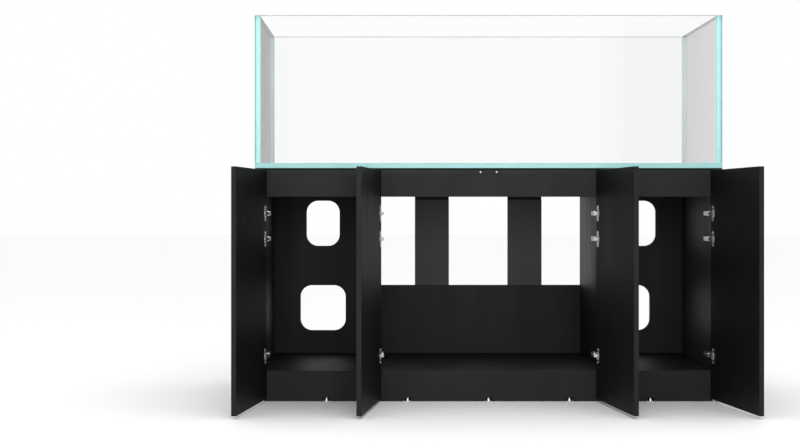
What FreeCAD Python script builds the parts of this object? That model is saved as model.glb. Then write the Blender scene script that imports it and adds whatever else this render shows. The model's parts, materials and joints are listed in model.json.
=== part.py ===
"""Rimless glass aquarium on a four-door cabinet, as a parametric FreeCAD document.

Frame: millimetres, +X to the right along the tank, +Y to the rear, +Z up.  The origin is on the floor,
under the middle of the object with its doors open, which is how it stands at rest.

Each hinge is laid out in a flat frame of its own: "inboard" runs from the closed door's hinge edge into
the opening, and "outward" runs from the front of the carcass towards the user.
"""
import FreeCAD, Part
import math
import os
import re
import Sketcher

DIMENSIONS = {
    # whole object
    "tank_length": 1800.0, "tank_depth": 650.0, "tank_height": 590.0, "glass": 19.0,
    "open_door_reach": 447.6, "mat_thickness": 6.0, "seam": 6.0,
    # carcass boards
    "board": 18.0, "carcass_top": 892.0, "carcass_foot": 3.0, "kick_top": 120.0, "top_rail_drop": 86.0,
    "partition_centre": 450.0, "centre_panel_top": 414.0, "rear_top_rail_drop": 74.0,
    "brace_centre": 200.3, "brace_width": 146.6,
    # openings in the side bays' rear panels
    "hole_height": 195.0, "wide_hole": 195.0, "narrow_hole": 143.0, "hole_corner": 50.0,
    "lower_hole_height": 315.5, "upper_hole_height": 680.5,
    # doors
    "door_width": 447.0, "door_foot": 11.0, "door_top": 890.0, "door_gap": 3.0, "door_standoff": 2.0,
    "door_edge": 0.6, "open_angle": 98.5,
    # hinges: heights of the three on each door
    "low_hinge": 178.0, "middle_hinge": 626.0, "high_hinge": 724.0,
    # hinge cup, let into the door
    "cup_radius": 17.5, "cup_wall": 1.0, "cup_depth": 12.5, "cup_edge": 5.0, "flange_proud": 1.2,
    "flange_length": 61.0, "flange_width": 20.0, "flange_rim": 1.5, "cup_screw_reach": 24.0,
    # hinge link, its pins and the arm that carries it
    "link_height": 11.0, "link_thickness": 2.4, "knuckle": 3.0, "pin": 1.5, "pin_play": 0.05,
    "arm_half_height": 8.0, "arm_near": 6.0, "arm_far": 7.0, "arm_web": 2.0, "arm_slot": 13.0,
    "arm_nose": 5.0, "arm_length": 72.0, "arm_play": 0.5,
    "plate_base": 3.0, "plate_front": 24.0, "plate_length": 44.0, "plate_half_height": 25.0,
    "plate_block": 7.5, "plate_screw_height": 16.0,
    # outer door hinge: places in the flat frame, with the door closed
    "outer_panel": 16.5, "outer_arm_in": 46.0, "outer_arm_out": -11.4, "outer_cup_in": 16.7,
    "outer_cup_out": 5.2, "outer_elbow_in": 36.0, "outer_elbow_out": 8.6, "outer_neck_in": 36.85,
    "outer_neck_out": 0.4, "outer_link_turn": -49.3,
    # inner door hinge
    "inner_panel": 7.5, "inner_arm_in": 36.0, "inner_arm_out": -7.4, "inner_cup_in": 13.4,
    "inner_cup_out": 5.4, "inner_elbow_in": 28.2, "inner_elbow_out": 10.8, "inner_neck_in": 31.5,
    "inner_neck_out": 0.4, "inner_link_turn": -47.5,
    # push latches
    "latch_radius": 5.0, "latch_length": 50.0, "plunger_radius": 3.5, "plunger_play": 0.05,
    "plunger_proud": 1.5, "plunger_length": 40.0, "latch_from_edge": 31.0, "latch_wall": 2.0,
    # levelling feet
    "foot_radius": 8.5, "foot_rim": 2.5, "foot_height": 14.0, "stem_radius": 4.0, "stem_length": 42.0,
    "insert_radius": 6.0, "insert_length": 22.0, "insert_start": 18.0, "stem_play": 0.05,
    "stem_clear": 1.0, "foot_shoulder": 2.5,
    "notch_width": 24.0, "notch_height": 13.0, "foot_step": 312.0, "end_foot": 867.0, "foot_inset": 9.0,
    # fasteners
    "screw_radius": 2.0, "screw_head": 3.5, "screw_head_height": 1.4, "screw_length": 11.0,
    "dowel_radius": 4.0, "dowel_length": 30.0, "dowel_inset": 60.0,
}

HINGE_HEIGHTS = ("low_hinge", "middle_hinge", "high_hinge")
# name, which hinge layout, hand (+1 hinged on its left edge, -1 on its right edge)
DOORS = (("left_outer", "outer", 1), ("left_inner", "inner", 1),
         ("right_inner", "inner", -1), ("right_outer", "outer", -1))

os.makedirs("parts", exist_ok=True)
doc = FreeCAD.newDocument("aquarium_on_stand")
sheet = doc.addObject("Spreadsheet::Sheet", "Dimensions")
for row, (alias, value) in enumerate(DIMENSIONS.items(), start=1):
    sheet.set(f"A{row}", alias)
    sheet.set(f"B{row}", str(value))
    sheet.setAlias(f"B{row}", alias)
doc.recompute()

ALIAS = re.compile(r"\b(" + "|".join(sorted(DIMENSIONS, key=len, reverse=True)) + r")\b")
# expressions that several parts share
FRONT = "((open_door_reach - tank_depth) / 2)"
BACK = f"({FRONT} + tank_depth)"
SIDE = "(tank_length / 2)"
RAIL_TOP = "(carcass_top - board)"
TANK_FOOT = "(carcass_top + mat_thickness)"
TANK_TOP = f"({TANK_FOOT} + tank_height)"
UPRIGHTS = (f"-({SIDE} - board / 2)", "-partition_centre", "partition_centre", f"({SIDE} - board / 2)")
LATCH_PLACES = {"left_outer": "-(partition_centre + latch_from_edge)", "left_inner": "-latch_from_edge",
                "right_inner": "latch_from_edge", "right_outer": "(partition_centre + latch_from_edge)"}
# each row of levelling feet: the front of its rail, the rail's top, and where the feet stand
FOOT_ROWS = {"front": (FRONT, "kick_top", ("-end_foot", "-2 * foot_step", "-foot_step", "0", "foot_step",
                                           "2 * foot_step", "end_foot")),
             "rear": (f"({BACK} - board)", "(kick_top - board)",
                      ("-end_foot", "-partition_centre", "0", "partition_centre", "end_foot"))}
TOLERANCE = 0.1  # mm, for telling measured places apart
nodes = []


def size(alias):
    """The number that the sheet holds for an alias."""
    return float(sheet.get(alias))


def bind(item, prop, expression):
    """Tie one property of a document object to the sheet."""
    item.setExpression(prop, ALIAS.sub(r"Dimensions.\1", expression))


def keep(item, label):
    """Make a document object one of the sub-parts that are written out."""
    item.Label = label
    nodes.append(item)
    return item


def block(name, start, end):
    """A Part::Box between two corners, each given as three expressions."""
    item = doc.addObject("Part::Box", name)
    for side, axis, low, high in zip(("Length", "Width", "Height"), "xyz", start, end):
        bind(item, side, f"({high}) - ({low})")
        bind(item, f"Placement.Base.{axis}", low)
    return item


def cut(name, base, tool):
    """What is left of one object when another is taken away."""
    item = doc.addObject("Part::Cut", name)
    item.Base, item.Tool = base, tool
    return item


def group(name, shapes):
    """Separate solids that share one sub-part."""
    item = doc.addObject("Part::Feature", name)
    item.Shape = Part.makeCompound(shapes)
    return keep(item, name)


def rod(radius, length, base, direction):
    """A plain cylinder shape from a base point along a direction."""
    return Part.makeCylinder(radius, length, FreeCAD.Vector(*base), FreeCAD.Vector(*direction))


def solid_box(low, high):
    """A plain box shape between two corners."""
    spans = [top - bottom for bottom, top in zip(low, high)]
    return Part.makeBox(*spans, FreeCAD.Vector(*low))


def evaluate(expression):
    """The value of an expression in the sheet's aliases, for shapes that are set directly."""
    probe = doc.getObject("Probe") or doc.addObject("App::FeaturePython", "Probe")
    if "Value" not in probe.PropertiesList:
        probe.addProperty("App::PropertyFloat", "Value")
    return float(probe.evalExpression(ALIAS.sub(r"Dimensions.\1", expression)))


# ---------------------------------------------------------------- carcass

def drill(name, board, holes):
    """A board less round holes: each is (x, y, z) of its mouth, its direction, radius and length."""
    bores = []
    for index, (mouth, direction, radius, length) in enumerate(holes):
        bore = doc.addObject("Part::Cylinder", f"{name}_hole_{index}")
        bind(bore, "Radius", radius)
        bind(bore, "Height", length)
        turn = FreeCAD.Rotation(FreeCAD.Vector(0, 0, 1), FreeCAD.Vector(*direction))
        bore.Placement = FreeCAD.Placement(FreeCAD.Vector(), turn)
        for axis, expression in zip("xyz", mouth):
            bind(bore, f"Placement.Base.{axis}", expression)
        bores.append(bore)
    tool = doc.addObject("Part::MultiFuse", f"{name}_holes")
    tool.Shapes = bores
    return cut(name, board, tool)


def dowel_rows(upright):
    """Where the three dowels in the top edge of an upright stand."""
    rows = (f"{FRONT} + dowel_inset", f"({FRONT} + {BACK}) / 2", f"{BACK} - dowel_inset")
    return [(upright, row) for row in rows]


def plate_holes(face, sign):
    """Pilot holes for the hinge plates on an upright's inner face, which looks along sign * X."""
    holes = []
    for height in HINGE_HEIGHTS:
        for side in ("+", "-"):
            mouth = (face, f"{FRONT} + plate_front + plate_length / 2",
                     f"{height} {side} plate_screw_height")
            holes.append((mouth, (-sign, 0, 0), "screw_radius", "screw_length - plate_base"))
    return holes


def upright_dowel_holes(upright):
    """Holes down into the top edge of an upright."""
    return [((x, y, RAIL_TOP), (0, 0, -1), "dowel_radius", "dowel_length / 2")
            for x, y in dowel_rows(upright)]


def make_boards():
    """The boards of the carcass that stand between the uprights."""
    inner = f"({SIDE} - board)"
    keep(block("bottom_panel", (f"-{inner}", f"{FRONT} + board", "kick_top - board"),
               (inner, BACK, "kick_top")), "bottom_panel")
    keep(block("top_rail", (f"-{inner}", FRONT, f"{RAIL_TOP} - top_rail_drop"),
               (inner, f"{FRONT} + board", RAIL_TOP)), "top_rail")
    bay_edge = "(partition_centre - board / 2)"
    keep(block("centre_rear_panel", (f"-{bay_edge}", f"{BACK} - board", "kick_top"),
               (bay_edge, BACK, "centre_panel_top")), "centre_rear_panel")
    keep(block("rear_top_rail", (f"-{bay_edge}", f"{BACK} - board", f"{RAIL_TOP} - rear_top_rail_drop"),
               (bay_edge, BACK, RAIL_TOP)), "rear_top_rail")
    for name, sign in (("left_rear_brace", "-"), ("right_rear_brace", "")):
        centre = f"({sign}brace_centre)"
        keep(block(name, (f"{centre} - brace_width / 2", f"{BACK} - board", "centre_panel_top"),
                   (f"{centre} + brace_width / 2", BACK, f"{RAIL_TOP} - rear_top_rail_drop")), name)


def make_side_panels():
    """The two outer uprights, drilled for dowels and hinge plates."""
    inner = f"({SIDE} - board)"
    for name, low, high, face, hand in (("left_side_panel", f"-{SIDE}", f"-{inner}", f"-{inner}", 1),
                                        ("right_side_panel", inner, SIDE, inner, -1)):
        board = block(f"{name}_board", (low, FRONT, "carcass_foot"), (high, BACK, RAIL_TOP))
        holes = upright_dowel_holes(f"({low} + {high}) / 2") + plate_holes(face, hand)
        keep(drill(name, board, holes), name)


def make_top_panel():
    """The top board, drilled from its front edge for the latches and from below for the dowels."""
    board = block("top_board", (f"-{SIDE}", FRONT, RAIL_TOP), (SIDE, BACK, "carcass_top"))
    holes = [((place, FRONT, "carcass_top - board / 2"), (0, 1, 0), "latch_radius", "latch_length")
             for place in LATCH_PLACES.values()]
    for upright in UPRIGHTS:
        holes += [((x, y, RAIL_TOP), (0, 0, 1), "dowel_radius", "dowel_length / 2")
                  for x, y in dowel_rows(upright)]
    keep(drill("top_panel", board, holes), "top_panel")


def make_partitions():
    """The two uprights between the bays, notched at the front for the top rail."""
    for name, sign, hand in (("left_partition", "-", 1), ("right_partition", "", -1)):
        centre = f"({sign}partition_centre)"
        sides = (f"{centre} - board / 2", f"{centre} + board / 2")
        board = block(f"{name}_board", (sides[0], FRONT, "kick_top"), (sides[1], BACK, RAIL_TOP))
        notch = block(f"{name}_notch", (sides[0], FRONT, f"{RAIL_TOP} - top_rail_drop"),
                      (sides[1], f"{FRONT} + board", RAIL_TOP))
        face = sides[1] if hand > 0 else sides[0]
        holes = upright_dowel_holes(centre) + plate_holes(face, hand)
        keep(drill(name, cut(f"{name}_notched", board, notch), holes), name)


def sketch_on(body, role, name):
    """A sketch on one of its own body's origin planes."""
    plane = next(item for item in body.Origin.OriginFeatures if item.Role == role)
    sketch = body.newObject("Sketcher::SketchObject", name)
    sketch.AttachmentSupport = [(plane, "")]
    sketch.MapMode = "FlatFace"
    return sketch


def outline(sketch, corners, prefix):
    """Close straight lines through corners, each corner placed by two expressions."""
    first = sketch.GeometryCount
    points = [FreeCAD.Vector(evaluate(x), evaluate(y), 0) for x, y in corners]
    for start, end in zip(points, points[1:] + points[:1]):
        sketch.addGeometry(Part.LineSegment(start, end))
    for index, (corner, point) in enumerate(zip(corners, points)):
        line = first + index
        after = first + (index + 1) % len(points)
        sketch.addConstraint(Sketcher.Constraint("Coincident", line, 2, after, 1))
        for kind, expression, value in zip(("DistanceX", "DistanceY"), corner, point):
            name = f"{prefix}{'abcdefgh'[index]}{kind[-1]}"
            number = sketch.addConstraint(Sketcher.Constraint(kind, -1, 1, line, 1, value))
            sketch.renameConstraint(number, name)
            bind(sketch, f"Constraints.{name}", expression)


def rectangle(sketch, low, high, prefix):
    """A rectangle between two corners given as expressions."""
    left, bottom, right, top = (*low, *high)
    outline(sketch, [(left, bottom), (right, bottom), (right, top), (left, top)], prefix)


def circle(sketch, centre, radius, prefix):
    """A circle whose centre and radius are bound to expressions."""
    point = FreeCAD.Vector(evaluate(centre[0]), evaluate(centre[1]), 0)
    index = sketch.addGeometry(Part.Circle(point, FreeCAD.Vector(0, 0, 1), evaluate(radius)))
    places = (("DistanceX", (-1, 1, index, 3, point.x), centre[0]),
              ("DistanceY", (-1, 1, index, 3, point.y), centre[1]),
              ("Radius", (index, evaluate(radius)), radius))
    for kind, where, expression in places:
        name = f"{prefix}{kind[-1]}"
        number = sketch.addConstraint(Sketcher.Constraint(kind, *where))
        sketch.renameConstraint(number, name)
        bind(sketch, f"Constraints.{name}", expression)


def pocket_through(body, sketch, name, length):
    """Cut a sketch into the body, on whichever side of its plane the material lies."""
    before = body.Shape.Volume
    pocket = body.newObject("PartDesign::Pocket", name)
    pocket.Profile = sketch
    bind(pocket, "Length", length)
    for reversed_way in (False, True):
        pocket.Reversed = reversed_way
        doc.recompute()
        if body.Shape.Volume < before - TOLERANCE:
            return
    raise RuntimeError(f"{name} cuts nothing")


def front_frame(sketch, depth_expression):
    """Set a sketch on the XZ plane back to a depth along +Y."""
    sketch.AttachmentOffset = FreeCAD.Placement(FreeCAD.Vector(0, 0, -evaluate(depth_expression)),
                                                FreeCAD.Rotation())
    bind(sketch, "AttachmentOffset.Base.z", f"-({depth_expression})")


def pad_from(body, sketch, name, length):
    """Pad a sketch on the XZ plane towards +Y."""
    pad = body.newObject("PartDesign::Pad", name)
    pad.Profile = sketch
    bind(pad, "Length", length)
    pad.Reversed = True
    doc.recompute()


def make_side_rear_panel(name, sign, upper_width, lower_width):
    """A side bay's rear panel, with two round-cornered ways through for hoses and cables."""
    body = doc.addObject("PartDesign::Body", name)
    inner, outer = "(partition_centre + board / 2)", f"({SIDE} - board)"
    edges = (inner, outer) if sign > 0 else (f"-{outer}", f"-{inner}")
    board_sketch = sketch_on(body, "XZ_Plane", f"{name}_outline")
    front_frame(board_sketch, f"{BACK} - board")
    rectangle(board_sketch, (edges[0], "kick_top"), (edges[1], RAIL_TOP), "Edge")
    pad_from(body, board_sketch, f"{name}_pad", "board")
    centre = f"({edges[0]} + {edges[1]}) / 2"
    for tag, width, height in (("Lower", lower_width, "lower_hole_height"),
                               ("Upper", upper_width, "upper_hole_height")):
        sketch = sketch_on(body, "XZ_Plane", f"{name}_{tag}")
        front_frame(sketch, f"{BACK} - board")
        rectangle(sketch, (f"{centre} - {width} / 2", f"{height} - hole_height / 2"),
                  (f"{centre} + {width} / 2", f"{height} + hole_height / 2"), tag)
        pocket_through(body, sketch, f"{name}_{tag}_hole", "board")
    rounds = [f"Edge{number}" for number, edge in enumerate(body.Shape.Edges, start=1)
              if is_hole_corner(edge.BoundBox, body.Shape.BoundBox)]
    holed = body.Tip
    fillet = body.newObject("PartDesign::Fillet", f"{name}_rounds")
    fillet.Base = (holed, rounds)
    bind(fillet, "Radius", "hole_corner")
    keep(body, name)


def is_hole_corner(edge, panel):
    """Whether an edge runs from front to back, clear of the panel's own sides; both are boxes."""
    return (edge.YLength > panel.YLength / 2 and edge.XMin > panel.XMin + TOLERANCE
            and edge.XMax < panel.XMax - TOLERANCE)


def make_kick_rail(name, row):
    """A plinth rail on edge, notched underneath and bored upwards for the levelling feet."""
    front, top, places = FOOT_ROWS[row]
    body = doc.addObject("PartDesign::Body", name)
    sketch = sketch_on(body, "XZ_Plane", f"{name}_outline")
    front_frame(sketch, front)
    inner = f"({SIDE} - board)"
    rectangle(sketch, (f"-{inner}", "carcass_foot"), (inner, top), "Edge")
    pad_from(body, sketch, f"{name}_pad", "board")
    notches = sketch_on(body, "XZ_Plane", f"{name}_notches")
    front_frame(notches, front)
    for letter, place in zip("abcdefg", places):
        rectangle(notches, (f"{place} - notch_width / 2", "carcass_foot"),
                  (f"{place} + notch_width / 2", "carcass_foot + notch_height"), f"Notch{letter}")
    pocket_through(body, notches, f"{name}_cuts", "board")
    levels = (("insert", "insert_radius", "insert_start + insert_length"),
              ("stem", "stem_radius + stem_clear", "foot_height + stem_length + stem_clear"))
    for tag, radius, height in levels:
        sketch = sketch_on(body, "XY_Plane", f"{name}_{tag}_bores")
        sketch.AttachmentOffset = FreeCAD.Placement(FreeCAD.Vector(0, 0, evaluate(height)),
                                                    FreeCAD.Rotation())
        bind(sketch, "AttachmentOffset.Base.z", height)
        for letter, place in zip("abcdefg", places):
            circle(sketch, (place, f"{front} + foot_inset"), radius, f"Bore{letter}")
        pocket_through(body, sketch, f"{name}_{tag}_wells", f"{height} - carcass_foot")
    keep(body, name)


# ---------------------------------------------------------------- tank

def make_tank():
    """Five panes glued edge to face, on a thin foam mat."""
    wall_foot = f"({TANK_FOOT} + glass)"
    keep(block("leveling_mat", (f"-{SIDE}", FRONT, "carcass_top"), (SIDE, BACK, TANK_FOOT)),
         "leveling_mat")
    keep(block("bottom_pane", (f"-{SIDE}", FRONT, TANK_FOOT), (SIDE, BACK, wall_foot)), "bottom_pane")
    keep(block("front_pane", (f"-{SIDE}", FRONT, wall_foot), (SIDE, f"{FRONT} + glass", TANK_TOP)),
         "front_pane")
    keep(block("rear_pane", (f"-{SIDE}", f"{BACK} - glass", wall_foot), (SIDE, BACK, TANK_TOP)),
         "rear_pane")
    for name, low, high in (("left_pane", f"-{SIDE}", f"glass - {SIDE}"),
                            ("right_pane", f"{SIDE} - glass", SIDE)):
        keep(block(name, (low, f"{FRONT} + glass", wall_foot), (high, f"{BACK} - glass", TANK_TOP)), name)


def make_seams():
    """Silicone beads in the tank's inner corners, as one continuous piece."""
    bead = size("seam")
    floor, rim = evaluate(TANK_FOOT) + size("glass"), evaluate(TANK_TOP)
    reach_x = evaluate(SIDE) - size("glass")
    near, far = evaluate(FRONT) + size("glass"), evaluate(BACK) - size("glass")
    shape = None
    for side in (-1, 1):
        for depth, inward in ((near, 1), (far, -1)):
            corner = FreeCAD.Vector(side * reach_x, depth, floor)
            legs = (FreeCAD.Vector(-side * bead, 0, 0), FreeCAD.Vector(0, inward * bead, 0))
            shape = add_bead(shape, corner, legs, FreeCAD.Vector(0, 0, rim - floor))
        corner = FreeCAD.Vector(side * reach_x, near, floor)
        legs = (FreeCAD.Vector(-side * bead, 0, 0), FreeCAD.Vector(0, 0, bead))
        shape = add_bead(shape, corner, legs, FreeCAD.Vector(0, far - near, 0))
    for depth, inward in ((near, 1), (far, -1)):
        corner = FreeCAD.Vector(-reach_x, depth, floor)
        legs = (FreeCAD.Vector(0, inward * bead, 0), FreeCAD.Vector(0, 0, bead))
        shape = add_bead(shape, corner, legs, FreeCAD.Vector(2 * reach_x, 0, 0))
    item = doc.addObject("Part::Feature", "silicone_seams")
    item.Shape = shape
    keep(item, "silicone_seams")


def add_bead(shape, corner, legs, run):
    """Join a three-cornered bead along one inner corner to what is there already."""
    wire = Part.makePolygon([corner, corner + legs[0], corner + legs[1], corner])
    bead = Part.Face(wire).extrude(run)
    return bead if shape is None else shape.fuse(bead).removeSplitter()


# ---------------------------------------------------------------- hinges and doors

def flat(inboard, outward, height=0.0):
    """A point of the hinge's flat frame, for a door hinged on its left edge."""
    return FreeCAD.Vector(inboard, -outward, height)


def hinge_layout(kind):
    """The places of one hinge in the flat frame with the door closed."""
    layout = {point: (size(f"{kind}_{point}_in"), size(f"{kind}_{point}_out"))
              for point in ("arm", "cup", "elbow", "neck")}
    layout["panel"] = size(f"{kind}_panel")
    layout["turn"] = size(f"{kind}_link_turn")
    return layout


def cup_shape(layout):
    """A hinge cup with its flange and the pin that its link turns on."""
    centre = size("cup_edge") + size("cup_radius")
    face = size("door_standoff")
    rim = face - size("flange_proud")
    radius, wall = size("cup_radius"), size("cup_wall")
    outward = (0, -1, 0)
    shape = rod(radius, size("cup_depth"), flat(centre, face), outward)
    flange = rod(radius + size("flange_rim"), size("flange_proud"), flat(centre, rim), outward)
    half_width, half_length = size("flange_width") / 2, size("flange_length") / 2
    wings = solid_box((centre - half_width, -face, -half_length), (centre + half_width, -rim, half_length))
    shape = shape.fuse(flange).fuse(wings)
    shape = shape.cut(rod(radius - wall, size("cup_depth") + size("flange_proud") - wall,
                          flat(centre, rim), outward))
    for side in (-1, 1):
        shape = shape.cut(rod(size("screw_radius"), 2 * size("flange_proud"),
                              flat(centre, rim - size("flange_proud") / 2, side * size("cup_screw_reach")),
                              outward))
    half_pin = math.sqrt((radius - wall / 2) ** 2 - (centre - layout["cup"][0]) ** 2)
    pin = rod(size("pin"), 2 * half_pin, flat(*layout["cup"], -half_pin), (0, 0, 1))
    return shape.fuse(pin).removeSplitter()


def cup_screw_shapes():
    """The two screws that hold a cup's flange to the door."""
    centre = size("cup_edge") + size("cup_radius")
    rim = size("door_standoff") - size("flange_proud")
    shapes = []
    for side in (-1, 1):
        height = side * size("cup_screw_reach")
        shank = rod(size("screw_radius"), size("screw_length"), flat(centre, rim, height), (0, -1, 0))
        head = rod(size("screw_head"), size("screw_head_height"),
                   flat(centre, rim - size("screw_head_height"), height), (0, -1, 0))
        shapes.append(shank.fuse(head).removeSplitter())
    return shapes


def link_shape(layout):
    """The cranked link between the arm's pin and the cup's pin."""
    low = -size("link_height") / 2
    tall = size("link_height")
    thick = size("link_thickness")
    stops = [layout["cup"], layout["elbow"], layout["neck"], layout["arm"]]
    shape = rod(size("knuckle"), tall, flat(*stops[0], low), (0, 0, 1))
    shape = shape.fuse(rod(size("knuckle"), tall, flat(*stops[-1], low), (0, 0, 1)))
    for start, end in zip(stops, stops[1:]):
        first, second = flat(*start, low), flat(*end, low)
        along = second.sub(first)
        across = FreeCAD.Vector(-along.y, along.x, 0).normalize().multiply(thick / 2)
        corners = [first - across, second - across, second + across, first + across, first - across]
        shape = shape.fuse(Part.Face(Part.makePolygon(corners)).extrude(FreeCAD.Vector(0, 0, tall)))
        shape = shape.fuse(rod(thick / 2, tall, first, (0, 0, 1)))
    hole = size("pin") + size("pin_play")
    for stop in (stops[0], stops[-1]):
        shape = shape.cut(rod(hole, tall, flat(*stop, low), (0, 0, 1)))
    return shape.removeSplitter()


def arm_shape(layout):
    """The channel-shaped arm on the carcass, with the pin at its nose."""
    inboard, outward = layout["arm"]
    half = size("arm_half_height")
    nose = outward + size("arm_nose")
    shape = solid_box((inboard - size("arm_near"), -nose, -half),
                      (inboard + size("arm_far"), -nose + size("arm_length"), half))
    gap = size("link_height") / 2 + size("arm_play")
    slot = solid_box((inboard - size("arm_near"), -nose, -gap),
                     (inboard + size("arm_far") - size("arm_web"), -outward + size("arm_slot"), gap))
    pin = rod(size("pin"), 2 * half, flat(inboard, outward, -half), (0, 0, 1))
    return shape.cut(slot).fuse(pin).removeSplitter()


def plate_shape(layout):
    """The mounting plate on the upright, with the block that carries the arm."""
    panel = layout["panel"]
    arm_side = layout["arm"][0] - size("arm_near")
    front, back = size("plate_front"), size("plate_front") + size("plate_length")
    half = size("plate_half_height")
    base = solid_box((panel, front, -half), (panel + size("plate_base"), back, half))
    block_half = size("plate_block")
    tower = solid_box((panel, front, -block_half), (arm_side, back, block_half))
    shape = base.fuse(tower)
    middle = (front + back) / 2
    for side in (-1, 1):
        shape = shape.cut(rod(size("screw_radius"), size("plate_base"),
                              (panel, middle, side * size("plate_screw_height")), (1, 0, 0)))
    return shape.removeSplitter()


def plate_screw_shapes(layout):
    """The two screws that hold a plate to its upright."""
    middle = size("plate_front") + size("plate_length") / 2
    face = layout["panel"] + size("plate_base")
    shapes = []
    for side in (-1, 1):
        height = side * size("plate_screw_height")
        shank = rod(size("screw_radius"), size("screw_length"), (face, middle, height), (-1, 0, 0))
        head = rod(size("screw_head"), size("screw_head_height"), (face, middle, height), (1, 0, 0))
        shapes.append(shank.fuse(head).removeSplitter())
    return shapes


def hinge_edge(kind, hand):
    """Where a closed door's hinge edge is along X."""
    edge = SIDE if kind == "outer" else "partition_centre"
    return -hand * (evaluate(edge) - size("door_gap") / 2)


def turned(hand, centre, new_centre, angle):
    """The placement that carries a flat-frame centre to a new one while turning by an angle."""
    turn = FreeCAD.Rotation(FreeCAD.Vector(0, 0, 1), -hand * angle)
    start = FreeCAD.Vector(hand * centre[0], -centre[1], 0)
    end = FreeCAD.Vector(hand * new_centre[0], -new_centre[1], 0)
    return FreeCAD.Placement(end - turn.multVec(start), turn)


def open_places(kind, hand):
    """Placements of a door and of its links, with the door standing open."""
    layout = hinge_layout(kind)
    turn = math.radians(layout["turn"])
    arm, cup = layout["arm"], layout["cup"]
    step = (cup[0] - arm[0], cup[1] - arm[1])
    cup_open = (arm[0] + step[0] * math.cos(turn) - step[1] * math.sin(turn),
                arm[1] + step[0] * math.sin(turn) + step[1] * math.cos(turn))
    shift = FreeCAD.Placement(FreeCAD.Vector(hinge_edge(kind, hand), evaluate(FRONT), 0),
                              FreeCAD.Rotation())
    link = shift.multiply(turned(hand, arm, arm, layout["turn"]))
    door = shift.multiply(turned(hand, cup, cup_open, size("open_angle")))
    return shift, link, door


def placed(shape, hand, height, placement):
    """A hinge piece, mirrored for a right-hand door, raised to its height and placed."""
    copy = shape.copy()
    if hand < 0:
        copy = copy.mirror(FreeCAD.Vector(), FreeCAD.Vector(1, 0, 0))
    copy.translate(FreeCAD.Vector(0, 0, height))
    copy.transformShape(placement.toMatrix())
    return copy


def make_door(name, kind, hand, placement):
    """A slab door with rounded edges, bored for three hinge cups and their screws."""
    body = doc.addObject("PartDesign::Body", f"{name}_door")
    sketch = sketch_on(body, "XY_Plane", f"{name}_door_plan")
    sketch.AttachmentOffset = FreeCAD.Placement(FreeCAD.Vector(0, 0, size("door_foot")),
                                                FreeCAD.Rotation())
    bind(sketch, "AttachmentOffset.Base.z", "door_foot")
    sides = ("0", "door_width") if hand > 0 else ("-door_width", "0")
    rectangle(sketch, (sides[0], "-(door_standoff + board)"), (sides[1], "-door_standoff"), "Edge")
    pad = body.newObject("PartDesign::Pad", f"{name}_door_pad")
    pad.Profile = sketch
    bind(pad, "Length", "door_top - door_foot")
    doc.recompute()
    edges = [f"Edge{number}" for number in range(1, len(pad.Shape.Edges) + 1)]
    rounds = body.newObject("PartDesign::Fillet", f"{name}_door_edges")
    rounds.Base = (pad, edges)
    bind(rounds, "Radius", "door_edge")
    doc.recompute()
    side = "" if hand > 0 else "-"
    centre = f"{side}(cup_edge + cup_radius)"
    cups = sketch_on(body, "XZ_Plane", f"{name}_door_cups")
    front_frame(cups, "-door_standoff")
    screws = sketch_on(body, "XZ_Plane", f"{name}_door_screws")
    front_frame(screws, "-door_standoff")
    for letter, height in zip("abc", HINGE_HEIGHTS):
        circle(cups, (centre, height), "cup_radius", f"Cup{letter}")
        for tag, way in (("High", "+"), ("Low", "-")):
            circle(screws, (centre, f"{height} {way} cup_screw_reach"), "screw_radius", f"{tag}{letter}")
    pocket_through(body, cups, f"{name}_door_cup_bores", "cup_depth")
    pocket_through(body, screws, f"{name}_door_screw_holes", "screw_length - flange_proud")
    body.Placement = placement
    keep(body, f"{name}_door")


def make_doors_and_hinges():
    """The four doors, each with three hinges."""
    fixed = {"hinge_arms": [], "hinge_plates": [], "plate_screws": []}
    for name, kind, hand in DOORS:
        shift, link_place, door_place = open_places(kind, hand)
        make_door(name, kind, hand, door_place)
        layout = hinge_layout(kind)
        cups, screws, links = [], [], []
        for alias in HINGE_HEIGHTS:
            height = size(alias)
            cups.append(placed(cup_shape(layout), hand, height, door_place))
            screws += [placed(shape, hand, height, door_place) for shape in cup_screw_shapes()]
            links.append(placed(link_shape(layout), hand, height, link_place))
            fixed["hinge_arms"].append(placed(arm_shape(layout), hand, height, shift))
            fixed["hinge_plates"].append(placed(plate_shape(layout), hand, height, shift))
            fixed["plate_screws"] += [placed(shape, hand, height, shift)
                                      for shape in plate_screw_shapes(layout)]
        group(f"{name}_hinge_cups", cups)
        group(f"{name}_cup_screws", screws)
        group(f"{name}_hinge_links", links)
    for name, shapes in fixed.items():
        group(name, shapes)


# ---------------------------------------------------------------- latches, feet, fasteners

def make_latches():
    """Push latches in the top panel's front edge: a sleeve each, and a plunger that travels in it."""
    middle = evaluate("carcass_top - board / 2")
    front = evaluate(FRONT)
    sleeves = []
    into = (0, 1, 0)
    for name, place in LATCH_PLACES.items():
        across = evaluate(place)
        sleeve = rod(size("latch_radius"), size("latch_length"), (across, front, middle), into)
        bore = rod(size("plunger_radius") + size("plunger_play"),
                   size("latch_length") - size("latch_wall"), (across, front, middle), into)
        sleeves.append(sleeve.cut(bore))
        plunger = doc.addObject("PartDesign::Body", f"{name}_latch_plunger")
        sketch = sketch_on(plunger, "XZ_Plane", f"{name}_plunger_end")
        front_frame(sketch, f"{FRONT} - plunger_proud")
        circle(sketch, (place, "carcass_top - board / 2"), "plunger_radius", "End")
        pad_from(plunger, sketch, f"{name}_plunger_pad", "plunger_length")
        keep(plunger, f"{name}_latch_plunger")
    group("latch_sleeves", sleeves)


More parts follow.
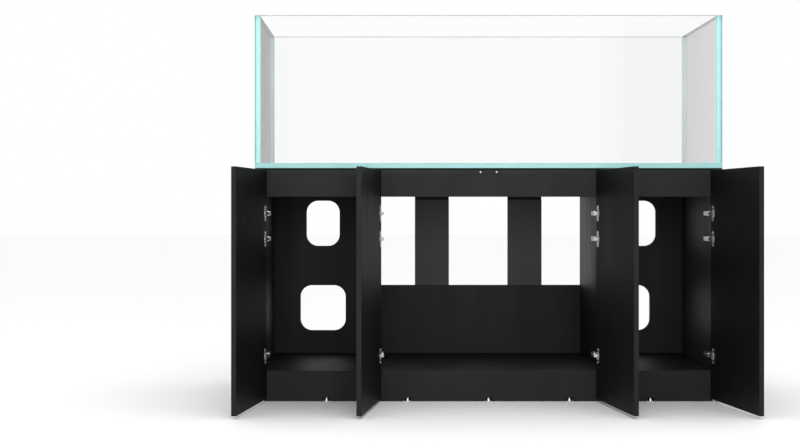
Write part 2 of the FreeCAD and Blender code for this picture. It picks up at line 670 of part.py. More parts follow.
def make_feet():
    """Bell-shaped levelling feet, and the threaded inserts that they screw into."""
    inserts = []
    for row, (front, _, places) in FOOT_ROWS.items():
        depth = f"{front} + foot_inset"
        for number, place in enumerate(places, start=1):
            name = f"{row}_levelling_foot_{number}"
            body = doc.addObject("PartDesign::Body", name)
            sketch = sketch_on(body, "XZ_Plane", f"{name}_profile")
            outline(sketch, [("0", "0"), ("foot_radius", "0"), ("foot_radius", "foot_rim"),
                             ("stem_radius + foot_shoulder", "foot_height - foot_shoulder"),
                             ("stem_radius", "foot_height"), ("stem_radius", "foot_height + stem_length"),
                             ("0", "foot_height + stem_length")], "Bell")
            turn = body.newObject("PartDesign::Revolution", f"{name}_turning")
            turn.Profile = sketch
            turn.ReferenceAxis = (sketch, ["V_Axis"])
            body.Placement = FreeCAD.Placement(FreeCAD.Vector(evaluate(place), evaluate(depth), 0),
                                               FreeCAD.Rotation())
            keep(body, name)
            base = (evaluate(place), evaluate(depth), size("insert_start"))
            bore = size("stem_radius") + size("stem_play")
            insert = rod(size("insert_radius"), size("insert_length"), base, (0, 0, 1))
            inserts.append(insert.cut(rod(bore, size("insert_length"), base, (0, 0, 1))))
    group("foot_inserts", inserts)


def make_dowels():
    """The dowels that hold the top panel on the four uprights."""
    shapes = []
    for upright in UPRIGHTS:
        for x, y in dowel_rows(upright):
            base = (evaluate(x), evaluate(y), evaluate(RAIL_TOP) - size("dowel_length") / 2)
            shapes.append(rod(size("dowel_radius"), size("dowel_length"), base, (0, 0, 1)))
    group("carcass_dowels", shapes)


def check_and_write():
    """Stop if anything failed, then write each sub-part to its own file."""
    doc.recompute()
    for item in doc.Objects:
        if "Invalid" in item.State or "Error" in item.State:
            raise RuntimeError(f"{item.Name} failed: {item.State}")
    for item in nodes:
        if item.Shape.isNull() or not item.Shape.isValid():
            raise RuntimeError(f"{item.Label} has no sound shape")
        item.Shape.exportStep(os.path.join("parts", f"{item.Label}.step"))
        box = item.Shape.BoundBox
        print(f"{item.Label}: {len(item.Shape.Solids)} solids, {item.Shape.Volume / 1000:.1f} cm3, "
              f"x {box.XMin:.1f}..{box.XMax:.1f} y {box.YMin:.1f}..{box.YMax:.1f} "
              f"z {box.ZMin:.1f}..{box.ZMax:.1f}")


make_boards()
make_side_panels()
make_top_panel()
make_partitions()
doc.recompute()
make_side_rear_panel("left_rear_panel", -1, "narrow_hole", "wide_hole")
make_side_rear_panel("right_rear_panel", 1, "wide_hole", "narrow_hole")
make_kick_rail("kick_rail", "front")
make_kick_rail("rear_kick_rail", "rear")
make_tank()
make_seams()
make_doors_and_hinges()
make_latches()
make_feet()
make_dowels()
check_and_write()
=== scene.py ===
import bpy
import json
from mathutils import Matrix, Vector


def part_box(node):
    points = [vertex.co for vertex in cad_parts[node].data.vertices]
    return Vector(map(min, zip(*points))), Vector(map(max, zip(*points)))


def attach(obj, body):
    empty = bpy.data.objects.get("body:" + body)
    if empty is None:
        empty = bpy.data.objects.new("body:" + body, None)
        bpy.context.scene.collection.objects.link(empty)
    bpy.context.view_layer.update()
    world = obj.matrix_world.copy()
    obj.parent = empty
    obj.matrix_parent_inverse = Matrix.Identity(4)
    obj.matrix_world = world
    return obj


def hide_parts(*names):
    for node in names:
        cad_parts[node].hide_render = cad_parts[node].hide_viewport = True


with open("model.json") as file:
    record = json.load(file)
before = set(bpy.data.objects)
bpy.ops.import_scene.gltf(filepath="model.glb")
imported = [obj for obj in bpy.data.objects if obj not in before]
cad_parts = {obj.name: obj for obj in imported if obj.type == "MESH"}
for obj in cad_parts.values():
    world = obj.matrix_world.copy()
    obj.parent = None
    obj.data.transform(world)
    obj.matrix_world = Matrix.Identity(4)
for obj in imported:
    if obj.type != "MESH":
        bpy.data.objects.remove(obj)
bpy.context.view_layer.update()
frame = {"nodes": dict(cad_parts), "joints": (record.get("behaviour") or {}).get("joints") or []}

import json
import math

import bmesh
import bpy
from mathutils import Matrix, Vector

MM = 0.001
FLAT_AREA = 0.0001  # square metres: larger faces are shaded flat, so a rounded edge doesn't bend them

# ------------------------------------------------------------------ places taken from the frame
BODY = "cabinet_and_tank"
FRONT_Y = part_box("kick_rail")[0][1]
JOINTS = {joint["name"]: joint for joint in frame["joints"]}
# each door: its hinge layout, and its hand (+1 hinged on its left edge, -1 on its right edge)
DOORS = {"left_outer": ("outer", 1), "left_inner": ("inner", 1),
         "right_inner": ("inner", -1), "right_outer": ("outer", -1)}
FEET = [name for name in frame["nodes"] if "levelling_foot" in name]
BOARDS = ("bottom_panel", "top_rail", "centre_rear_panel", "rear_top_rail", "left_rear_brace",
          "right_rear_brace", "left_side_panel", "right_side_panel", "top_panel", "left_partition",
          "right_partition", "left_rear_panel", "right_rear_panel", "kick_rail", "rear_kick_rail")
PANES = ("bottom_pane", "front_pane", "rear_pane", "left_pane", "right_pane")

# ------------------------------------------------------------------ sizes shared with the CAD model
# Hinges are laid out in a flat frame, in millimetres: "in" runs from the closed door's hinge edge into
# the opening, "out" from the carcass front to the user.
LAYOUTS = {"outer": {"arm_in": 46.0, "cup_in": 16.7, "cup_out": 5.2, "panel": 16.5},
           "inner": {"arm_in": 36.0, "cup_in": 13.4, "cup_out": 5.4, "panel": 7.5}}
HINGE_HEIGHTS = (178.0, 626.0, 724.0)
OPEN_ANGLE = 98.5
DOOR_FACE_OUT = 2.0
CUP_CENTRE_IN, CUP_RADIUS, CUP_DEPTH, CUP_WALL = 22.5, 17.5, 12.5, 1.0
FLANGE_OUT, FLANGE_HALF_LENGTH, FLANGE_HALF_WIDTH = 0.8, 30.5, 10.0
CUP_SCREW_REACH, PLATE_SCREW_REACH = 24.0, 16.0
PLATE_BASE, PLATE_MIDDLE = 3.0, 46.0
ARM_FAR = 7.0
ARM_SCREWS_ALONG = (34.0, 60.0)
CUP_SCREW_LENGTH, PLATE_SCREW_LENGTH, ARM_SCREW_LENGTH = 10.0, 11.0, 6.0


# ------------------------------------------------------------------ materials

class Shader:
    """A material with one Principled shader, and short ways to add nodes to it."""

    def __init__(self, name, **settings):
        self.material = bpy.data.materials.new(name)
        self.material.use_nodes = True
        self.tree = self.material.node_tree
        self.bsdf = self.tree.nodes["Principled BSDF"]
        self.output = self.tree.nodes["Material Output"]
        self.set(self.bsdf, **settings)
        self.place = self.node("ShaderNodeTexCoord").outputs["Object"]

    def set(self, node, **settings):
        """Give node sockets their values or links, by the socket's name with _ for a space."""
        for key, value in settings.items():
            socket = node.inputs[key.replace("_", " ")]
            if isinstance(value, bpy.types.NodeSocket):
                self.tree.links.new(value, socket)
            else:
                socket.default_value = value

    def node(self, kind, **settings):
        """A new node with its sockets set."""
        made = self.tree.nodes.new(kind)
        self.set(made, **settings)
        return made

    def noise(self, scale, detail=3.0, roughness=0.55, vector=None):
        """A noise value, with the scale in cycles per metre."""
        node = self.node("ShaderNodeTexNoise", Vector=vector or self.place, Scale=scale, Detail=detail,
                         Roughness=roughness)
        return node.outputs["Fac"]

    def stretched(self, x, y, z):
        """The object's coordinates scaled along each axis, for a grain."""
        return self.node("ShaderNodeMapping", Vector=self.place, Scale=(x, y, z)).outputs["Vector"]

    def ramp(self, value, low, high, start=0.0, end=1.0):
        """A value mapped from start..end to low..high."""
        node = self.node("ShaderNodeMapRange", Value=value, From_Min=start, From_Max=end, To_Min=low,
                         To_Max=high)
        return node.outputs["Result"]

    def math(self, operation, *values):
        """One step of arithmetic on up to three values."""
        node = self.tree.nodes.new("ShaderNodeMath")
        node.operation = operation
        for socket, value in zip(node.inputs, values):
            if isinstance(value, bpy.types.NodeSocket):
                self.tree.links.new(value, socket)
            else:
                socket.default_value = value
        return node.outputs[0]

    def blend(self, factor, first, second):
        """Two colours mixed by a value."""
        node = self.tree.nodes.new("ShaderNodeMix")
        node.data_type = "RGBA"
        for socket, value in ((node.inputs["Factor"], factor), (node.inputs[6], first),
                              (node.inputs[7], second)):
            if isinstance(value, bpy.types.NodeSocket):
                self.tree.links.new(value, socket)
            else:
                socket.default_value = value
        return node.outputs[2]

    def bump(self, height, strength, distance):
        """A bumped normal from a height value; distance is in metres."""
        return self.node("ShaderNodeBump", Height=height, Strength=strength,
                         Distance=distance).outputs["Normal"]


def rgb(red, green, blue):
    """An opaque linear colour."""
    return (red, green, blue, 1.0)


def grey(value):
    """An opaque neutral colour."""
    return (value, value, value, 1.0)


def board_material(name, base, lighter, sheen, gloss, grain):
    """Black melamine-faced board: pearl texture, faint cloudiness, uneven satin."""
    shader = Shader(name, Specular_IOR_Level=sheen)
    cloud = shader.noise(3.5, 4.0)
    fleck = shader.noise(1400.0, 2.0)
    pearl = shader.noise(650.0, 3.0, 0.6)
    wipe = shader.noise(1.0, 3.0, 0.6, shader.stretched(*grain))
    tone = shader.blend(shader.ramp(cloud, 0.0, 1.0, 0.3, 0.7), base, lighter)
    tone = shader.blend(shader.ramp(fleck, 0.0, 0.35, 0.55, 0.85), tone, rgb(0.03, 0.031, 0.032))
    rough = shader.ramp(wipe, gloss - 0.05, gloss + 0.07, 0.3, 0.7)
    shader.set(shader.bsdf, Base_Color=tone, Roughness=rough, Normal=shader.bump(pearl, 0.22, 0.00012))
    return shader.material


def cut_edge_material():
    """The sealed raw edge of a sawn board: rougher, with fibres."""
    shader = Shader("sealed_cut_edge", Specular_IOR_Level=0.15)
    fibre = shader.noise(1.0, 5.0, 0.7, shader.stretched(240.0, 900.0, 240.0))
    tone = shader.blend(fibre, rgb(0.005, 0.005, 0.0052), rgb(0.016, 0.0155, 0.015))
    shader.set(shader.bsdf, Base_Color=tone, Roughness=shader.ramp(fibre, 0.62, 0.8),
               Normal=shader.bump(fibre, 0.5, 0.0002))
    return shader.material


def metal_material(name, tone, darker, rough, scratch):
    """Plated steel: brushed fine lines, cloudy plating, small dull spots."""
    shader = Shader(name, Metallic=1.0)
    lines = shader.noise(1.0, 3.0, 0.5, shader.stretched(*scratch))
    spots = shader.noise(180.0, 3.0)
    colour = shader.blend(shader.ramp(spots, 0.0, 0.6, 0.45, 0.75), tone, darker)
    shader.set(shader.bsdf, Base_Color=colour, Roughness=shader.ramp(lines, rough - 0.06, rough + 0.10),
               Normal=shader.bump(lines, 0.12, 0.00005))
    return shader.material


def plastic_material(name, tone, darker, rough):
    """Moulded plastic with a fine spark-eroded texture."""
    shader = Shader(name, Specular_IOR_Level=0.45)
    texture = shader.noise(2200.0, 2.0)
    cloud = shader.noise(60.0, 2.0)
    shader.set(shader.bsdf, Base_Color=shader.blend(cloud, tone, darker),
               Roughness=shader.ramp(texture, rough - 0.05, rough + 0.08),
               Normal=shader.bump(texture, 0.25, 0.00008))
    return shader.material


def foam_material():
    """Closed-cell foam: small cells and a dull face."""
    shader = Shader("closed_cell_foam", Specular_IOR_Level=0.1)
    cells = shader.node("ShaderNodeTexVoronoi", Vector=shader.place, Scale=900.0).outputs["Distance"]
    cloud = shader.noise(40.0, 3.0)
    tone = shader.blend(cells, grey(0.006), grey(0.012))
    shader.set(shader.bsdf, Base_Color=shader.blend(cloud, tone, grey(0.008)),
               Roughness=shader.ramp(cells, 0.78, 0.92), Normal=shader.bump(cells, 0.45, 0.0003))
    return shader.material


def silicone_material():
    """Clear silicone: a see-through, slightly uneven bead that takes the glass edge's colour."""
    shader = Shader("clear_silicone", Specular_IOR_Level=0.3, Alpha=0.35)
    wave = shader.noise(70.0, 3.0)
    tone = shader.blend(wave, rgb(0.50, 0.86, 0.87), rgb(0.62, 0.92, 0.92))
    shader.set(shader.bsdf, Base_Color=tone, Roughness=shader.ramp(wave, 0.28, 0.42),
               Normal=shader.bump(wave, 0.3, 0.0004))
    return shader.material


def glass_face_material():
    """The large faces of a clear pane: see-through, greyer and glossier at a grazing angle.

    The gloss comes from the facing angle and not from an index of refraction, because both sides of a
    face have to look the same.
    """
    straight_gloss, grazing_gloss = 0.003, 0.30
    shader = Shader("clear_pane_face")
    nodes, links = shader.tree.nodes, shader.tree.links
    nodes.remove(shader.bsdf)
    facing = shader.node("ShaderNodeLayerWeight", Blend=0.5).outputs["Facing"]
    haze = shader.noise(4.0, 3.0)
    grazing = shader.ramp(facing, 0.0, 1.0, 0.70, 1.0)
    tint = shader.blend(grazing, rgb(0.975, 0.976, 0.976), rgb(0.41, 0.412, 0.412))
    clear = shader.node("ShaderNodeBsdfTransparent", Color=tint).outputs["BSDF"]
    gloss = shader.node("ShaderNodeBsdfGlossy", Color=grey(0.92),
                        Roughness=shader.ramp(haze, 0.01, 0.03)).outputs["BSDF"]
    rise = shader.math("POWER", facing, 5.0)
    share = shader.math("MULTIPLY_ADD", rise, grazing_gloss, straight_gloss)
    mix = shader.node("ShaderNodeMixShader", Fac=share)
    links.new(clear, mix.inputs[1])
    links.new(gloss, mix.inputs[2])
    links.new(mix.outputs[0], shader.output.inputs["Surface"])
    return shader.material


def glass_edge_material(name, tone, lighter):
    """A ground and polished edge of a pane, where low-iron glass shows its pale cyan."""
    shader = Shader(name, Coat_Weight=0.06, Coat_Roughness=0.08, Specular_IOR_Level=0.1)
    depth = shader.noise(9.0, 3.0)
    streak = shader.noise(1.0, 2.0, 0.5, shader.stretched(3.0, 3.0, 420.0))
    shader.set(shader.bsdf, Base_Color=shader.blend(shader.ramp(depth, 0.0, 1.0, 0.3, 0.7), tone, lighter),
               Roughness=shader.ramp(streak, 0.12, 0.22), Normal=shader.bump(streak, 0.05, 0.0001))
    return shader.material


def beech_material():
    """Plain beech dowel: long grain with short flecks."""
    shader = Shader("beech", Specular_IOR_Level=0.3)
    grain = shader.noise(1.0, 4.0, 0.6, shader.stretched(900.0, 900.0, 45.0))
    shader.set(shader.bsdf, Base_Color=shader.blend(grain, rgb(0.62, 0.42, 0.24), rgb(0.74, 0.55, 0.34)),
               Roughness=shader.ramp(grain, 0.5, 0.65), Normal=shader.bump(grain, 0.3, 0.0002))
    return shader.material


def floor_material():
    """A plain pale studio floor."""
    shader = Shader("studio_floor", Specular_IOR_Level=0.05)
    cloud = shader.noise(0.8, 2.0)
    shader.set(shader.bsdf, Base_Color=shader.blend(cloud, grey(0.960), grey(0.968)), Roughness=0.6)
    return shader.material


BLACK = board_material("carcass_melamine", rgb(0.0078, 0.0078, 0.0081), rgb(0.0096, 0.0096, 0.0100), 0.13,
                       0.52, (6.0, 6.0, 1.6))
# a lighter copy of the black melamine for the braces' front faces: painted light
BRACE_PAINTED_LIGHT = board_material("brace_melamine_painted_light", rgb(0.0420, 0.0421, 0.0425), rgb(0.0460, 0.0461, 0.0465), 0.13,
                       0.52, (6.0, 6.0, 1.6))
# a lighter, glossier copy of the black melamine for the side panels' inner faces: painted light
SIDE_BOARD_PAINTED_LIGHT = board_material("side_melamine_painted_light", rgb(0.0270, 0.0271, 0.0275), rgb(0.0310, 0.0311, 0.0316), 0.18,
                            0.50, (6.0, 6.0, 1.6))
# a darker, duller copy of the black melamine for the doors' faces: painted shade
DOOR_FACE_PAINTED_SHADE = board_material("door_melamine_painted_shade", rgb(0.0054, 0.0054, 0.0056), rgb(0.0066, 0.0066, 0.0068), 0.06,
                           0.48, (5.0, 5.0, 1.3))
EDGE_BAND = board_material("edge_band", rgb(0.0096, 0.0096, 0.0099), rgb(0.0120, 0.0120, 0.0124), 0.10,
                           0.42, (8.0, 8.0, 8.0))
CUT_EDGE = cut_edge_material()
NICKEL = metal_material("nickel_plate", grey(0.56), grey(0.42), 0.30, (900.0, 900.0, 60.0))
FOOT_NICKEL = metal_material("foot_nickel", grey(0.86), grey(0.74), 0.34, (60.0, 60.0, 1500.0))
SCREW_ZINC = metal_material("zinc_plate", rgb(0.62, 0.63, 0.65), rgb(0.46, 0.47, 0.49), 0.32,
                            (500.0, 500.0, 500.0))
BRASS = metal_material("turned_brass", rgb(0.72, 0.56, 0.28), rgb(0.58, 0.43, 0.20), 0.30,
                       (60.0, 60.0, 2400.0))
DARK_PLASTIC = plastic_material("dark_plastic", grey(0.020), grey(0.030), 0.45)
PALE_PLASTIC = plastic_material("pale_plastic", rgb(0.56, 0.56, 0.55), rgb(0.46, 0.46, 0.45), 0.35)
FOAM = foam_material()
SILICONE = silicone_material()
BEECH = beech_material()
PANE_FACE = glass_face_material()
WALL_EDGE = glass_edge_material("pane_edge_bright", rgb(0.42, 0.73, 0.735), rgb(0.47, 0.78, 0.785))
# the base pane's edges: a darker copy of the edge finish, painted shade
BASE_EDGE_PAINTED_SHADE = glass_edge_material("pane_edge_painted_shade", rgb(0.268, 0.505, 0.505), rgb(0.304, 0.546, 0.546))
# the eased edges: a darker copy of the edge finish, painted shade along them
ARRIS_PAINTED_SHADE = glass_edge_material("pane_arris_painted_shade", rgb(0.19, 0.33, 0.33), rgb(0.23, 0.38, 0.38))
# the top faces and top eased edges: a lighter, neutral copy of the edge finish, painted light from above
RIM_PAINTED_LIGHT = glass_edge_material("pane_rim_painted_light", rgb(0.60, 0.63, 0.63), rgb(0.64, 0.66, 0.66))
GLUED_END = glass_edge_material("pane_glued_end", rgb(0.71, 0.76, 0.76), rgb(0.75, 0.80, 0.80))


# ------------------------------------------------------------------ mesh helpers

def add_piece(name, work, materials, body, replaced=(), smooth_angle=35.0):
    """Turn a bmesh into a piece that rides on a body and stands for some CAD nodes."""
    mesh = bpy.data.meshes.new(name)
    bmesh.ops.recalc_face_normals(work, faces=work.faces)
    work.to_mesh(mesh)
    work.free()
    for material in materials:
        mesh.materials.append(material)
    mesh.shade_smooth()
    mesh.set_sharp_from_angle(angle=math.radians(smooth_angle))
    for polygon in mesh.polygons:
        if polygon.area > FLAT_AREA:
            polygon.use_smooth = False
    piece = bpy.data.objects.new(name, mesh)
    bpy.context.collection.objects.link(piece)
    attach(piece, body)
    if replaced:
        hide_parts(*replaced)
    return piece


def cad_copy(node):
    """A node's solid as a clean bmesh, with its triangles joined into flat faces."""
    work = bmesh.new()
    work.from_mesh(bpy.data.objects[node].data)
    bmesh.ops.remove_doubles(work, verts=work.verts, dist=0.5e-6)
    bmesh.ops.dissolve_limit(work, angle_limit=math.radians(0.8), verts=work.verts, edges=work.edges)
    return work


def soften(work, width, segments=2, angle=40.0):
    """Round every edge that turns by more than an angle."""
    sharp = [edge for edge in work.edges if len(edge.link_faces) == 2
             and edge.calc_face_angle(0.0) > math.radians(angle)]
    bmesh.ops.bevel(work, geom=sharp, offset=width, offset_type="OFFSET", segments=segments, profile=0.5,
                    affect="EDGES", clamp_overlap=True)
    return work


def joined(parts):
    """Several bmeshes as one."""
    whole = bmesh.new()
    for part in parts:
        mesh = bpy.data.meshes.new("part")
        part.to_mesh(mesh)
        part.free()
        whole.from_mesh(mesh)
        bpy.data.meshes.remove(mesh)
    return whole


def box_mesh(low, high):
    """A box between two corners."""
    work = bmesh.new()
    bmesh.ops.create_cube(work, size=1.0)
    low, high = Vector(low), Vector(high)
    for vert in work.verts:
        vert.co = Vector((low[axis] + (high[axis] - low[axis]) * (vert.co[axis] + 0.5)
                          for axis in range(3)))
    return work


def turned_mesh(profile, steps=32):
    """A closed form turned about Z from (radius, height) points, in millimetres.

    A third number makes that ring a polygon of as many sides, and the radius is then to its flats.
    """
    work = bmesh.new()
    rings = []
    for radius, height, *sides in profile:
        if radius == 0:
            rings.append([work.verts.new((0, 0, height * MM))])
            continue
        ring = []
        for step in range(steps):
            turn = 2 * math.pi * step / steps
            reach = radius * MM
            if sides:
                half = math.pi / sides[0]
                reach /= math.cos((turn + half) % (2 * half) - half)
            ring.append(work.verts.new((reach * math.cos(turn), reach * math.sin(turn), height * MM)))
        rings.append(ring)
    for lower, upper in zip(rings, rings[1:]):
        for step in range(steps):
            after = (step + 1) % steps
            corners = dict.fromkeys((lower[step % len(lower)], lower[after % len(lower)],
                                     upper[after % len(upper)], upper[step % len(upper)]))
            work.faces.new(corners)
    return work


def plate_mesh(outline, low, high, ease):
    """A flat plate from an outline of (x, z) points, between two places along Y, all in millimetres."""
    work = bmesh.new()
    rings = [[work.verts.new((x * MM, y * MM, z * MM)) for x, z in outline] for y in (low, high)]
    count = len(outline)
    for step in range(count):
        after = (step + 1) % count
        work.faces.new((rings[0][step], rings[0][after], rings[1][after], rings[1][step]))
    work.faces.new(rings[0])
    work.faces.new(rings[1])
    return soften(work, ease * MM, 2, 50.0)


def moved(work, matrix):
    """A bmesh carried by a matrix."""
    bmesh.ops.transform(work, matrix=matrix, verts=work.verts)
    return work


def at(x, y, z):
    """A shift, in millimetres."""
    return Matrix.Translation((x * MM, y * MM, z * MM))


# ------------------------------------------------------------------ tank

PANE_MATERIALS = {"face": PANE_FACE, "wall_edge": WALL_EDGE, "base_edge": BASE_EDGE_PAINTED_SHADE, "arris": ARRIS_PAINTED_SHADE,
                  "rim": RIM_PAINTED_LIGHT, "glued": GLUED_END, "bead": SILICONE}
SIDE_PANES = ("left_pane", "right_pane")


def pane_finish(name, normal, centre, low, high, ease):
    """Which finish one face of a pane has: a large face, an eased edge (an arris) or an end."""
    spans = [high[axis] - low[axis] for axis in range(3)]
    thin = spans.index(min(spans))
    is_base = name == "bottom_pane"
    on_top = centre[2] > high[2] - ease
    if abs(normal[thin]) > 0.99:
        return "face"
    if max(abs(value) for value in normal) < 0.99:
        if is_base and on_top or name == "front_pane" and centre[2] < low[2] + ease:
            return "bead"
        # top eased edges take the lighter rim finish, painted light
        if not is_base and on_top:
            return "rim"
        # the other eased edges take the darker arris finish, painted shade
        return "glued" if name in SIDE_PANES and centre[1] > high[1] - ease else "arris"
    # the base pane's edges take a darker copy of the edge finish, painted shade
    if is_base:
        return "base_edge"
    # upward faces take the lighter rim finish, painted light
    if normal[2] > 0.99:
        return "rim"
    return "glued" if normal[2] < -0.99 or name in SIDE_PANES and normal[1] > 0.99 else "wall_edge"


def make_panes():
    """Each pane with eased edges and a thin gap where it is glued, as faces in one place show through."""
    order = list(PANE_MATERIALS)
    ease, glue_gap = 1.2 * MM, 0.05 * MM
    for name in PANES:
        low, high = (list(corner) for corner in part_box(name))
        if name != "bottom_pane":
            low[2] += glue_gap
        if name in SIDE_PANES:
            low[1], high[1] = low[1] + glue_gap, high[1] - glue_gap
        work = soften(box_mesh(low, high), ease, 2)
        for item in work.faces:
            finish = pane_finish(name, item.normal, item.calc_center_median(), low, high, ease)
            item.material_index = order.index(finish)
        add_piece(f"{name}_glass", work, list(PANE_MATERIALS.values()), BODY, (name,), 50.0)


def bead_section(reach):
    """The hollow-faced section of a tooled bead: (away from the wall, up from the floor), in metres."""
    steps = 6
    turns = [math.pi / 2 * step / steps for step in range(steps + 1)]
    return [(0.0, 0.0)] + [(reach * (1 - math.sin(turn)), reach * (1 - math.cos(turn))) for turn in turns]


def make_beads():
    """Silicone in the tank's inner corners: a mitred run round the floor and a bead up each corner."""
    low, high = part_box("silicone_seams")
    reach = 2.5 * MM
    inset = 0.01 * MM
    section = bead_section(reach)
    work = bmesh.new()
    corners = [(-1, -1), (1, -1), (1, 1), (-1, 1)]
    middle = [(low[axis] + high[axis]) / 2 for axis in range(2)]
    half = [(high[axis] - low[axis]) / 2 - inset for axis in range(2)]
    rings = [[work.verts.new((middle[0] + x * (half[0] - away), middle[1] + y * (half[1] - away),
                              low[2] + inset + up)) for away, up in section] for x, y in corners]
    count = len(section)
    for ring, following in zip(rings, rings[1:] + rings[:1]):
        for step in range(count):
            after = (step + 1) % count
            work.faces.new((ring[step], ring[after], following[after], following[step]))
    for x, y in corners:
        ends = [[work.verts.new((middle[0] + x * (half[0] - first), middle[1] + y * (half[1] - second),
                                 height)) for first, second in section]
                for height in (low[2] + reach / 2, high[2] - inset)]
        for step in range(count):
            after = (step + 1) % count
            work.faces.new((ends[0][step], ends[0][after], ends[1][after], ends[1][step]))
        work.faces.new(ends[0])
        work.faces.new(ends[1])
    add_piece("tank_beads", work, [SILICONE], BODY, ("silicone_seams",), 50.0)


def make_mat():
    """The foam mat, pressed a little rounder at its edges by the tank's weight."""
    work = soften(box_mesh(*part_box("leveling_mat")), 1.6 * MM, 4)
    add_piece("tank_mat", work, [FOAM], BODY, ("leveling_mat",), 50.0)


# ------------------------------------------------------------------ boards and doors

LEAF, BAND, SAWN, OUTSIDE = range(4)  # a board's finishes, in the order of its materials


def brace_mesh(low, high):
    """An upright brace whose top end is set back under the rail; the set-back end takes the dark sawn
    finish, partly the board's core and partly painted shade in the gap.
    """
    gap, set_back = 17 * MM, 9 * MM
    body = box_mesh(low, (high[0], high[1], high[2] - gap))
    end = box_mesh((low[0], low[1] + set_back, high[2] - gap), high)
    # the set-back end's dark sawn finish also paints the shade of the gap under the rail
    for item in end.faces:
        item.material_index = SAWN
    return joined([body, end])


def make_boards():
    """The carcass boards with their edges eased, banded edges and sealed hole walls.

    The braces and the side panels take a lighter copy of the melamine, painted light, on the faces that the
    open doors show.
    """
    hole_margin = 25 * MM
    for name in BOARDS:
        low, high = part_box(name)
        spans = [high[axis] - low[axis] for axis in range(3)]
        thin = spans.index(min(spans))
        brace, side = name.endswith("brace"), name.endswith("side_panel")
        away = Vector((0, 1, 0)) if brace else Vector((math.copysign(1, low[0]), 0, 0))
        work = soften(brace_mesh(low, high) if brace else cad_copy(name), 0.5 * MM, 2)
        for item in work.faces:
            centre = item.calc_center_median()
            if (brace or side) and item.normal.dot(away) > 0.9:
                item.material_index = OUTSIDE
            if abs(item.normal[thin]) < 0.5:
                in_hole = all(low[axis] + hole_margin < centre[axis] < high[axis] - hole_margin
                              for axis in (0, 2))
                item.material_index = SAWN if in_hole else BAND
            if item.normal[2] < -0.9 and thin != 2:
                item.material_index = SAWN
        # the braces' and side panels' lighter melamine is painted light; their outer faces keep the plain
        # black
        leaf = BRACE_PAINTED_LIGHT if brace else SIDE_BOARD_PAINTED_LIGHT if side else BLACK
        materials = [leaf, EDGE_BAND, CUT_EDGE] + ([BLACK] if brace or side else [])
        add_piece(f"{name}_board", work, materials, BODY, (name,), 30.0)


def mirrored(hand):
    """Flips a left-hand piece for a right-hand door."""
    return Matrix.Scale(hand, 4, (1, 0, 0))


def leaf_place(door):
    """Carries a door's flat frame to where the open door stands."""
    kind, hand = DOORS[door]
    layout = LAYOUTS[kind]
    x, y, _ = JOINTS[f"{door}_door_swing"]["pos_m"]
    return (Matrix.Translation((x, y, 0)) @ Matrix.Rotation(math.radians(-hand * OPEN_ANGLE), 4, "Z")
            @ at(-hand * layout["cup_in"], layout["cup_out"], 0) @ mirrored(hand))


def fixed_place(door):
    """Carries a door's flat frame to the carcass."""
    kind, hand = DOORS[door]
    x = JOINTS[f"{door}_link_turn"]["pos_m"][0] - hand * LAYOUTS[kind]["arm_in"] * MM
    return Matrix.Translation((x, FRONT_Y, 0)) @ mirrored(hand)


def make_door(door):
    """A slab door: a darker copy of the melamine on its two faces, painted shade, and banding round its
    edges.
    """
    name = f"{door}_door"
    hand = DOORS[door][1]
    facing = Matrix.Rotation(math.radians(-hand * OPEN_ANGLE), 3, "Z") @ Vector((0, 1, 0))
    work = cad_copy(name)
    for item in work.faces:
        item.material_index = LEAF if abs(item.normal.dot(facing)) > 0.9 else BAND
    add_piece(f"{door}_slab", work, [DOOR_FACE_PAINTED_SHADE, EDGE_BAND], f"{door}_leaf", (name,), 30.0)


# ------------------------------------------------------------------ hinges

def screw_mesh(length):
    """A pan-head screw with a cross recess; the head's underside is at zero, in millimetres."""
    shank, root, head, height = 2.0, 1.45, 3.5, 1.4
    pitch, tip = 1.2, 0.8
    profile = [(0, -length), (0.5, -length + tip)]
    for turn in range(int((length - 2) / pitch)):
        low = -length + 1.4 + turn * pitch
        profile += [(root, low), (shank, low + pitch / 2)]
    profile += [(1.5, -0.3), (1.7, 0), (head - 0.1, 0), (head, 0.15), (head, 0.55), (3.2, 0.95),
                (2.6, 1.22), (2.0, height - 0.06), (1.9, height - 0.02), (1.4, height), (0.9, height),
                (0.5, height), (0, height)]
    work = turned_mesh(profile, 32)
    recess_reach, recess_half_width, recess_depth, recess_taper = 1.95, 0.42, 0.75, 0.35
    for vert in work.verts:
        x, y, z = (value / MM for value in vert.co)
        reach = math.hypot(x, y)
        if z > height - 0.03 and reach < recess_reach and min(abs(x), abs(y)) < recess_half_width:
            vert.co.z -= recess_depth * MM * (1 - recess_taper * reach / recess_reach)
    return work


